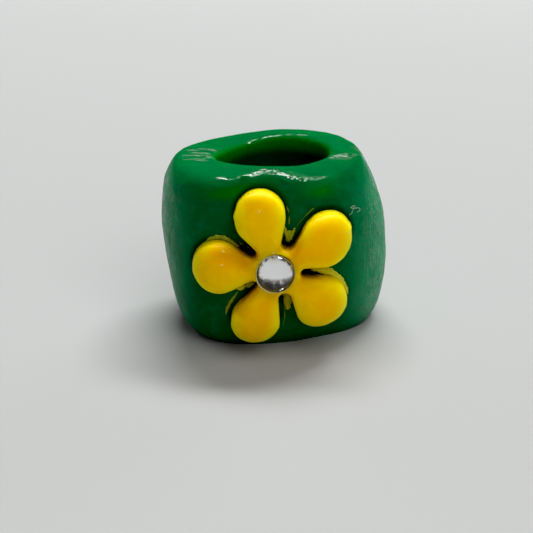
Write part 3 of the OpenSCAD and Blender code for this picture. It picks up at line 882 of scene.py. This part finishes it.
FILM_GREEN, THICK_YELLOW = (0.01, 0.09, 0.008, 1), (0.60, 0.58, 0.01, 1)
LIT_RIM_YELLOW = (0.85, 0.85, 0.06, 1)
olive = Finish("flash_finish")
place = olive.place()
torn = olive.noise(place, 3.0, 3.0)
thick = olive.tag("yellow_share") + (torn - 0.5) * 0.6
film = olive.blend(FILM_GREEN, THICK_YELLOW, thick)
# Painted highlight: the flash's rims are a bright yellow
olive.shade({
    "Base Color": olive.blend(film, LIT_RIM_YELLOW, olive.tag("rim") * thick),
    "Roughness": 0.42,
    "Specular IOR Level": 0.2,
    "Normal": olive.bump(torn, 0.03),
})
flash.data.materials.append(olive.look)
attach(flash, "root")


# The gem. A clear half-round stone, flat behind and polished all over. It is
# dropped in the flower's recess on its foil, and held there by its glue.
DOME_H, GIRDLE_H, FOIL_T = 1.1, 0.16, 0.1
BEVEL, DOME_ROWS, GIRDLE_SHARP = 0.02, 40, 35
ball_r = (GEM_R ** 2 + DOME_H ** 2) / (2 * DOME_H)
dome_turn = np.arcsin(GEM_R / ball_r)
lean = np.linspace(dome_turn, 0, DOME_ROWS)
dome = np.column_stack([ball_r * np.sin(lean), GIRDLE_H + DOME_H - ball_r * (1 - np.cos(lean))])
foot = [[0, 0], [0.5 * GEM_R, 0], [GEM_R - BEVEL, 0], [GEM_R, BEVEL], [GEM_R, GIRDLE_H / 2]]
profile = np.vstack([foot, dome])
stone_y = seat_y - 2 * FIT_GAP - FOIL_T
stone_grid = np.stack([
    profile[:, :1] * np.cos(np.radians(ring)),
    stone_y - profile[:, 1:] + 0 * ring,
    profile[:, :1] * np.sin(np.radians(ring)) + FLOWER_RISE,
], -1)
stone = surface("gem_stone", [stone_grid])
stone.data.set_sharp_from_angle(angle=np.radians(GIRDLE_SHARP))
clear = Finish("clear_gem_finish")
clear.shade({
    "Base Color": (1, 1, 1, 1),
    "Roughness": 0.0,
    "IOR": 1.5,
    "Transmission Weight": 1.0,
    "Normal": clear.bump(clear.noise(clear.place(), 1.2, 1.0), 0.02),
})
stone.data.materials.append(clear.look)
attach(stone, "root")
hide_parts("gem")


# The gem's lip. A thin pale rim round the stone, which stands up most against its
# lower left edge.
LIP_LEAST, LIP_MORE = 0.004, 0.056
LIP_ANGLE, LIP_SPREAD = 222, 48
LIP_IN, LIP_UP, LIP_TURNS = 0.01, 0.36, 12
from_thick = (ring - LIP_ANGLE + 180) % 360 - 180
lip_r = LIP_LEAST + LIP_MORE * bell(from_thick, 0, LIP_SPREAD)
about = np.linspace(0, 2 * np.pi, LIP_TURNS, endpoint=False)[:, None]
lip_out = GEM_R - LIP_IN + lip_r * np.cos(about)
lip_grid = np.stack([
    lip_out * np.cos(np.radians(ring)), seat_y - LIP_UP + lip_r * np.sin(about),
    lip_out * np.sin(np.radians(ring)) + FLOWER_RISE,
], -1)
lip = surface("gem_lip", [lip_grid[:, ::-1]], looped=True)
pale_lip = Finish("gem_lip_finish")
pale_lip.shade({
    "Base Color": (1.0, 0.97, 0.70, 1),
    "Roughness": 0.25,
    "Subsurface Weight": 0.3,
    "Subsurface Scale": 0.1 * MM,
})
lip.data.materials.append(pale_lip.look)
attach(lip, "root")


# The foil. A thin bright disc on the stone's flat back, which mirrors the room
# through the stone. It has chipped in spots towards its rim, and below an arc about a
# point above its middle it is painted dark, a painted reflection of the dim room.
BRIGHT, DARK_REFLECTION, CHIPPED = (0.95, 0.96, 0.97, 1), (0.20, 0.18, 0.15, 1), (0.06, 0.06, 0.05, 1)
ARC_UP, ARC_START, ARC_END = 2.2, 2.42, 2.66
silver = Finish("foil_finish")
place = silver.place()
flat = silver.place((1, 0, 1))
middle = (0, 0, FLOWER_RISE)
off_middle = silver.node("VectorMath", (flat, middle), output="Value", operation="DISTANCE")
chipped = silver.noise(place, 3.2, 2.0).rise(0.50, 0.58) * off_middle.rise(0.85, 1.15)
above = (0, 0, FLOWER_RISE + ARC_UP)
down = silver.node("VectorMath", (flat, above), output="Value", operation="DISTANCE")
# Painted reflection: dark below the arc
reflected_dark = down.rise(ARC_START, ARC_END) * silver.noise(place, 2.5, 3.0).rise(0.22, 0.5)
silver.shade({
    "Base Color": silver.blend(silver.blend(BRIGHT, DARK_REFLECTION, reflected_dark), CHIPPED, chipped),
    "Metallic": 1.0,
    "Roughness": 0.12,
    "Normal": silver.bump(silver.noise(place, 2.0, 3.0), 0.05),
})
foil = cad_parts["foil"]
foil.data.materials.clear()
foil.data.materials.append(silver.look)


# The lint. A curl of pale fibre, finer than a hair, that stuck to the bead's
# right shoulder while the clay was soft.
LINT_R, LINT_ROWS, LINT_TURNS = 0.011, 120, 8
# Points along it, angle and height share, and how far all of them are moved
LINT_SHIFT = [-1.0, 0.025]
LINT = [
    [312.3, 0.741], [313.3, 0.755], [315.0, 0.762], [316.2, 0.781], [318.4, 0.798],
    [316.6, 0.803], [315.0, 0.800], [317.1, 0.785], [318.8, 0.781], [320.4, 0.775],
    [322.0, 0.763], [320.7, 0.753], [318.0, 0.750],
]
# Millimetres for a degree and for the whole height
LINT_SCALE = [0.12, 14.0]
thread = along(np.array(LINT) * LINT_SCALE, LINT_ROWS) / LINT_SCALE + LINT_SHIFT
centre = bead_point(at(WALL, thread[:, 1])[:, 1], thread[:, 1], thread[:, 0])
# It stands a little off the clay and sways, in shares of its distance to the axis
LINT_OFF, LINT_SWAY, LINT_WAVE, LINT_FACING = 0.012, 0.004, 0.5, [0.71, -0.67, 0.22]
sway = np.sin(np.arange(LINT_ROWS) * LINT_WAVE)
centre[:, :2] *= 1 + (LINT_OFF + LINT_SWAY * sway)[:, None]
way = np.gradient(centre, axis=0)
way /= np.linalg.norm(way, axis=1, keepdims=True)
off = np.cross(way, LINT_FACING)
off /= np.linalg.norm(off, axis=1, keepdims=True)
over = np.cross(way, off)
turn = np.linspace(0, 2 * np.pi, LINT_TURNS, endpoint=False)[:, None]
taper = LINT_R * np.clip(1 - np.linspace(-1, 1, LINT_ROWS) ** 8, 0, 1)[:, None, None]
lint_grid = centre[:, None] + taper * (np.cos(turn) * off[:, None] + np.sin(turn) * over[:, None])
lint = surface("lint", [lint_grid])
pale = Finish("lint_finish")
GREENISH, GREYISH = (0.45, 0.60, 0.45, 1), (0.70, 0.68, 0.62, 1)
pale.shade({
    "Base Color": pale.blend(GREENISH, GREYISH, pale.noise(pale.place(), 4.0)),
    "Roughness": 0.7,
})
lint.data.materials.append(pale.look)
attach(lint, "root")


# The stage. The bead stands on a plain pale sheet. A long window stands high
# behind it, and soft lamps light it from above, from the front right and weakly
# from either side behind, in a dim room.
FLOOR_HALF = 3.0
low = -BEAD_H / 2 * MM
corners = [(-FLOOR_HALF, -FLOOR_HALF, low), (FLOOR_HALF, -FLOOR_HALF, low),
           (FLOOR_HALF, FLOOR_HALF, low), (-FLOOR_HALF, FLOOR_HALF, low)]
floor_mesh = bpy.data.meshes.new("floor")
floor_mesh.from_pydata(corners, [], [(0, 1, 2, 3)])
floor = bpy.data.objects.new("floor", floor_mesh)
bpy.context.scene.collection.objects.link(floor)
sheet = Finish("floor_finish")
sheet.shade({
    "Base Color": (0.412, 0.420, 0.414, 1),
    "Roughness": 0.6,
    "Specular IOR Level": 0.0,
})
floor_mesh.materials.append(sheet.look)

# The lights: place in metres, side lengths in metres, watts
LIGHTS = {
    "window": [(0.13, 0.58, 1.06), (0.9, 0.28), 19.0],
    "above": [(0.2, -0.45, 1.2), (0.9, 0.9), 4.0],
    "front": [(0.45, -0.85, 0.65), (0.7, 0.7), 4.4],
    "glint": [(-0.36, -0.87, 0.63), (0.12, 0.12), 10.0],
    "panel": [(0.0, 0.95, 0.72), (1.2, 0.62), 14.0],
    "right": [(0.55, 0.92, 0.3), (0.4, 0.5), 2.0],
    "left": [(-0.6, 0.85, 0.3), (0.4, 0.5), 1.3],
}
# The gloss mirrors only the window and the panel, the foil behind the stone only
# the window and the glint, and the panel and the glint light nothing else
MIRRORED = ("window", "panel")
SEEN_IN_STONE = ("window", "glint")
ONLY_MIRRORED = ("panel", "glint")
for name, (spot, (wide, tall), watts) in LIGHTS.items():
    lamp = bpy.data.lights.new(name, "AREA")
    lamp.shape = "RECTANGLE"
    lamp.size, lamp.size_y, lamp.energy = wide, tall, watts
    light = bpy.data.objects.new(name, lamp)
    light.location = spot
    light.rotation_euler = (-Vector(spot)).to_track_quat("-Z", "Y").to_euler()
    light.visible_glossy = name in MIRRORED
    light.visible_transmission = name in SEEN_IN_STONE
    light.visible_diffuse = name not in ONLY_MIRRORED
    bpy.context.scene.collection.objects.link(light)

# The room is dim, but as pale as the floor where the camera sees past its edge
DIM, PALE = (0.08, 0.08, 0.08, 1), (0.62, 0.63, 0.62, 1)
room = Finish("room", bpy.data.worlds, "Background")
to_camera = room.node("LightPath", output="Is Camera Ray")
room.shade({"Color": room.blend(DIM, PALE, to_camera)})
bpy.context.scene.world = room.look

# The darkest tones fall to black, as they do in the photograph
BLACK = 0.004
view = bpy.context.scene.view_settings
view.view_transform = "Standard"
view.use_curve_mapping = True
view.curve_mapping.black_level = (BLACK, BLACK, BLACK)
view.curve_mapping.update()
